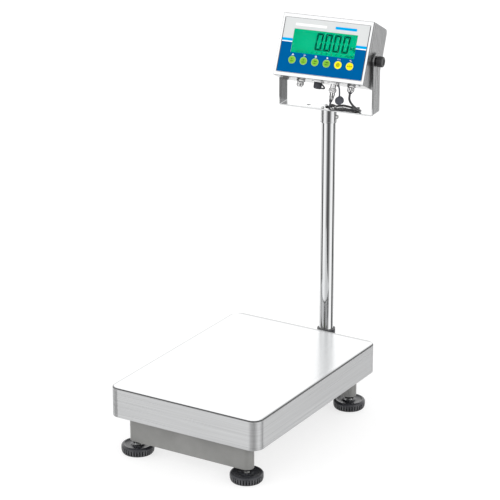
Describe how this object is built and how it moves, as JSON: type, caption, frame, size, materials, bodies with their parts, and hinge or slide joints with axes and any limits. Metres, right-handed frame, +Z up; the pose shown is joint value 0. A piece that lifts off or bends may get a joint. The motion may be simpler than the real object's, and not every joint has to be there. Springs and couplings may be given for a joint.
{
  "type": "bench scale",
  "caption": "Bench scale: stainless weighing pan on a load-cell base with levelling feet, and a tilting indicator with display and keys on a rear pillar.",
  "frame": {"origin": "on the floor, below the middle of the outline seen from above", "axes": "+Z up; -Y is the side the user stands at and the indicator faces; +X is the user's right"},
  "size_m": [0.3, 0.5648, 0.6918],
  "materials": {
    "pan_steel": "brushed lengthwise",
    "frame_paint": "fine textured powder coat",
    "plated_steel": "zinc plated",
    "black_steel": "blackened",
    "cell_alloy": "machined",
    "pad_rubber": "matt",
    "socket_black": "satin",
    "pillar_steel": "polished, fine drawn lines",
    "black_plastic": "moulded",
    "vial": "clear, green fluid",
    "lead_jacket": "satin PVC",
    "sleeve_steel": "turned",
    "bracket_steel": "brushed",
    "tie_nylon": "satin",
    "case_steel": "fine brushed",
    "overlay_film": "satin printed film",
    "window": "clear",
    "display": "backlit green",
    "board": "solder mask",
    "battery_case": "moulded",
    "nickel": "nickel plated",
    "cap_rubber": "matt",
    "knob_black": "moulded",
    "foot_plastic": "glossy moulded",
    "key_green": "embossed film",
    "key_yellow": "embossed film"
  },
  "bodies": {
    "base": {"front_beam": "frame_paint", "rear_beam": "frame_paint", "spine": "frame_paint", "frame_screws": "plated_steel", "lock_nuts": "black_steel", "overload_stops": "plated_steel", "load_cell": "cell_alloy", "cell_spacers": "plated_steel", "top_frame": "frame_paint", "pan_pads": "pad_rubber", "pillar_bracket": "frame_paint", "pillar_socket": "socket_black", "socket_screws": "plated_steel", "pillar_tube": "pillar_steel", "level_body": "black_plastic", "level_vial": "vial", "supply_inlet": "black_plastic", "load_lead_base": "lead_jacket", "supply_lead_base": "lead_jacket"},
    "pan": {"pan": "pan_steel"},
    "stud_fl": {"foot_stud_fl": "plated_steel"},
    "disc_fl": {"foot_disc_fl": "foot_plastic"},
    "stud_fr": {"foot_stud_fr": "plated_steel"},
    "disc_fr": {"foot_disc_fr": "foot_plastic"},
    "stud_rl": {"foot_stud_rl": "plated_steel"},
    "disc_rl": {"foot_disc_rl": "foot_plastic"},
    "stud_rr": {"foot_stud_rr": "plated_steel"},
    "disc_rr": {"foot_disc_rr": "foot_plastic"},
    "head": {"head_sleeve": "sleeve_steel", "sleeve_screw": "plated_steel", "bracket": "bracket_steel", "bracket_screws": "plated_steel", "lead_grommet": "pad_rubber", "lead_hank": "lead_jacket", "hank_tie": "tie_nylon", "load_lead_loop": "lead_jacket", "supply_lead_loop": "lead_jacket"},
    "indicator": {"rear_case": "case_steel", "front_bezel": "case_steel", "overlay": "overlay_film", "window_pane": "window", "display_module": "display", "main_board": "board", "battery": "battery_case", "case_screws": "plated_steel", "pivot_bosses": "cell_alloy", "cable_glands": "nickel", "panel_sockets": "nickel", "socket_cap": "cap_rubber", "dust_cap": "cap_rubber", "plug_body": "nickel", "pivot_bolt": "plated_steel"},
    "plug_ring": {"plug_ring": "nickel"},
    "clamp_knob": {"clamp_knob": "knob_black"},
    "key_1": {"key_1": "key_green"},
    "key_2": {"key_2": "key_green"},
    "key_3": {"key_3": "key_green"},
    "key_4": {"key_4": "key_green"},
    "key_5": {"key_5": "key_yellow"},
    "key_6": {"key_6": "key_yellow"}
  },
  "joints": [
    {"name": "pan_lift", "type": "slide", "parent": "base", "child": "pan", "axis": [0, 0, 1], "range_m": [0, 0.08]},
    {"name": "foot_fl_height", "type": "slide", "parent": "base", "child": "stud_fl", "axis": [0, 0, -1], "range_m": [0, 0.012]},
    {"name": "foot_fl_turn", "type": "hinge", "parent": "stud_fl", "child": "disc_fl", "pos_m": [-0.1106, -0.25242, 0], "axis": [0, 0, -1], "range_deg": [0, 2880]},
    {"name": "foot_fr_height", "type": "slide", "parent": "base", "child": "stud_fr", "axis": [0, 0, -1], "range_m": [0, 0.012]},
    {"name": "foot_fr_turn", "type": "hinge", "parent": "stud_fr", "child": "disc_fr", "pos_m": [0.1106, -0.25242, 0], "axis": [0, 0, -1], "range_deg": [0, 2880]},
    {"name": "foot_rl_height", "type": "slide", "parent": "base", "child": "stud_rl", "axis": [0, 0, -1], "range_m": [0, 0.012]},
    {"name": "foot_rl_turn", "type": "hinge", "parent": "stud_rl", "child": "disc_rl", "pos_m": [-0.1106, 0.10758, 0], "axis": [0, 0, -1], "range_deg": [0, 2880]},
    {"name": "foot_rr_height", "type": "slide", "parent": "base", "child": "stud_rr", "axis": [0, 0, -1], "range_m": [0, 0.012]},
    {"name": "foot_rr_turn", "type": "hinge", "parent": "stud_rr", "child": "disc_rr", "pos_m": [0.1106, 0.10758, 0], "axis": [0, 0, -1], "range_deg": [0, 2880]},
    {"name": "head_swivel", "type": "hinge", "parent": "base", "child": "head", "pos_m": [0, 0.21758, 0.514], "axis": [0, 0, 1], "range_deg": [-96, 84]},
    {"name": "indicator_tilt", "type": "hinge", "parent": "head", "child": "indicator", "pos_m": [0, 0.21758, 0.619], "axis": [-0.9945, -0.1045, 0], "range_deg": [-15, 35], "deforming": ["load_lead_loop", "supply_lead_loop"]},
    {"name": "plug_ring_turn", "type": "hinge", "parent": "indicator", "child": "plug_ring", "pos_m": [0.02685, 0.18218, 0.56772], "axis": [0.0438, -0.4172, -0.9078], "range_deg": [0, 360]},
    {"name": "clamp_knob_turn", "type": "hinge", "parent": "indicator", "child": "clamp_knob", "pos_m": [0.09647, 0.22772, 0.619], "axis": [0.9945, 0.1045, 0], "range_deg": [0, 360]},
    {"name": "key_1_press", "type": "slide", "parent": "indicator", "child": "key_1", "axis": [-0.0949, 0.9028, -0.4195], "range_m": [0, 0.0005], "stiffness_N_per_m": 2000},
    {"name": "key_2_press", "type": "slide", "parent": "indicator", "child": "key_2", "axis": [-0.0949, 0.9028, -0.4195], "range_m": [0, 0.0005], "stiffness_N_per_m": 2000},
    {"name": "key_3_press", "type": "slide", "parent": "indicator", "child": "key_3", "axis": [-0.0949, 0.9028, -0.4195], "range_m": [0, 0.0005], "stiffness_N_per_m": 2000},
    {"name": "key_4_press", "type": "slide", "parent": "indicator", "child": "key_4", "axis": [-0.0949, 0.9028, -0.4195], "range_m": [0, 0.0005], "stiffness_N_per_m": 2000},
    {"name": "key_5_press", "type": "slide", "parent": "indicator", "child": "key_5", "axis": [-0.0949, 0.9028, -0.4195], "range_m": [0, 0.0005], "stiffness_N_per_m": 2000},
    {"name": "key_6_press", "type": "slide", "parent": "indicator", "child": "key_6", "axis": [-0.0949, 0.9028, -0.4195], "range_m": [0, 0.0005], "stiffness_N_per_m": 2000}
  ],
  "couplings": [
    {"joint": "foot_fl_height", "follows": "foot_fl_turn", "m_per_rad": 0.00023873},
    {"joint": "foot_fr_height", "follows": "foot_fr_turn", "m_per_rad": 0.00023873},
    {"joint": "foot_rl_height", "follows": "foot_rl_turn", "m_per_rad": 0.00023873},
    {"joint": "foot_rr_height", "follows": "foot_rr_turn", "m_per_rad": 0.00023873}
  ]
}
